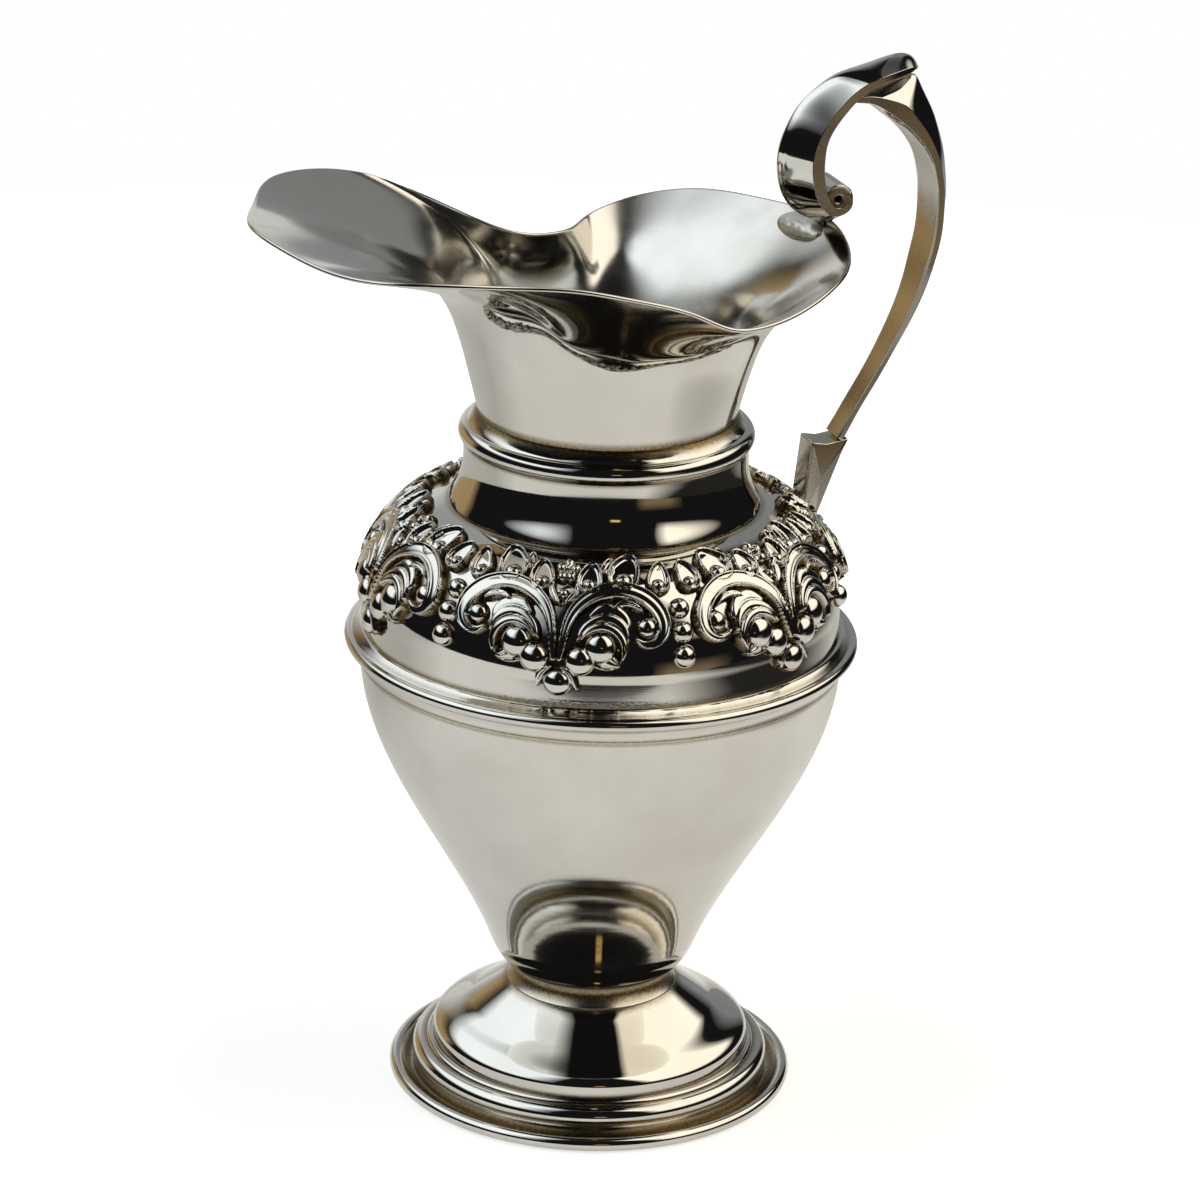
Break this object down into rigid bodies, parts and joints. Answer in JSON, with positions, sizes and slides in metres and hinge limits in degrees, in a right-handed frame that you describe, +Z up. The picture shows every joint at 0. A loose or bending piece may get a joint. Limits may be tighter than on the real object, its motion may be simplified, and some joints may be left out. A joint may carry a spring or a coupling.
{
  "type": "water jug",
  "caption": "Footed pouring jug with a pinched mouth, a long rounded spout, a cast scroll handle and a leaf relief band round the shoulder, for serving water.",
  "frame": {"origin": "centre of the foot's underside, on the jug's turning axis", "axes": "+Z up along the turning axis, +X towards the handle, so the spout points to -X"},
  "size_m": [0.1685, 0.1212, 0.2488],
  "materials": {
    "polished_silver": "mirror polished silver plate",
    "spun_silver": "polished silver plate with faint spun lines",
    "cast_silver": "cast, polished outside, rough and tarnished on the inner face",
    "stamped_silver": "polished high relief with dark recesses",
    "tarnished_solder": "brown-gold tarnished solder fillet",
    "grainy_solder": "grainy unpolished solder"
  },
  "bodies": {
    "root": {"foot_rim": "polished_silver", "foot_bead": "polished_silver", "foot_dome": "polished_silver", "foot_solder_ring": "tarnished_solder", "bowl_shell": "spun_silver", "belt_ring": "polished_silver", "shoulder_shell": "polished_silver", "neck_collar": "polished_silver", "mouth_shell": "spun_silver", "handle_scroll": "cast_silver", "handle_stem": "cast_silver", "handle_bracket": "cast_silver", "rim_solder": "grainy_solder", "motif_stampings": "stamped_silver", "bead_drops": "stamped_silver"}
  },
  "joints": []
}
